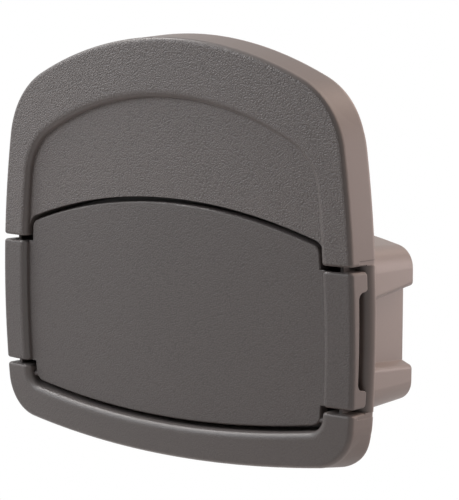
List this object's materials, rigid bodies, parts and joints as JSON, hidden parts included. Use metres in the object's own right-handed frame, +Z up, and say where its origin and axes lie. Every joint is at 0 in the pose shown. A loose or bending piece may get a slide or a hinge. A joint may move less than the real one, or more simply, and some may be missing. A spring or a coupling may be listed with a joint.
{
  "type": "hose hanger",
  "caption": "Wall-mounted plastic hose hanger: a crowned front frame and a drum that carries coiled hose, with a storage compartment behind a drop-down door.",
  "frame": {"origin": "centre of the wall screw pattern, on the wall plane at the compartment's back", "axes": "+X to the right as seen from the front, +Y into the wall, +Z up"},
  "size_m": [0.4014, 0.114, 0.3549],
  "materials": {
    "body_plastic": "taupe moulded plastic, pebbled face and satin sides",
    "door_plastic": "taupe moulded plastic, fine grain"
  },
  "bodies": {
    "body": {"body": "body_plastic"},
    "door": {"door": "door_plastic"}
  },
  "joints": [
    {"name": "door_hinge", "type": "hinge", "parent": "body", "child": "door", "pos_m": [0, -0.096, -0.075], "axis": [1, 0, 0], "range_deg": [0, 100]}
  ]
}
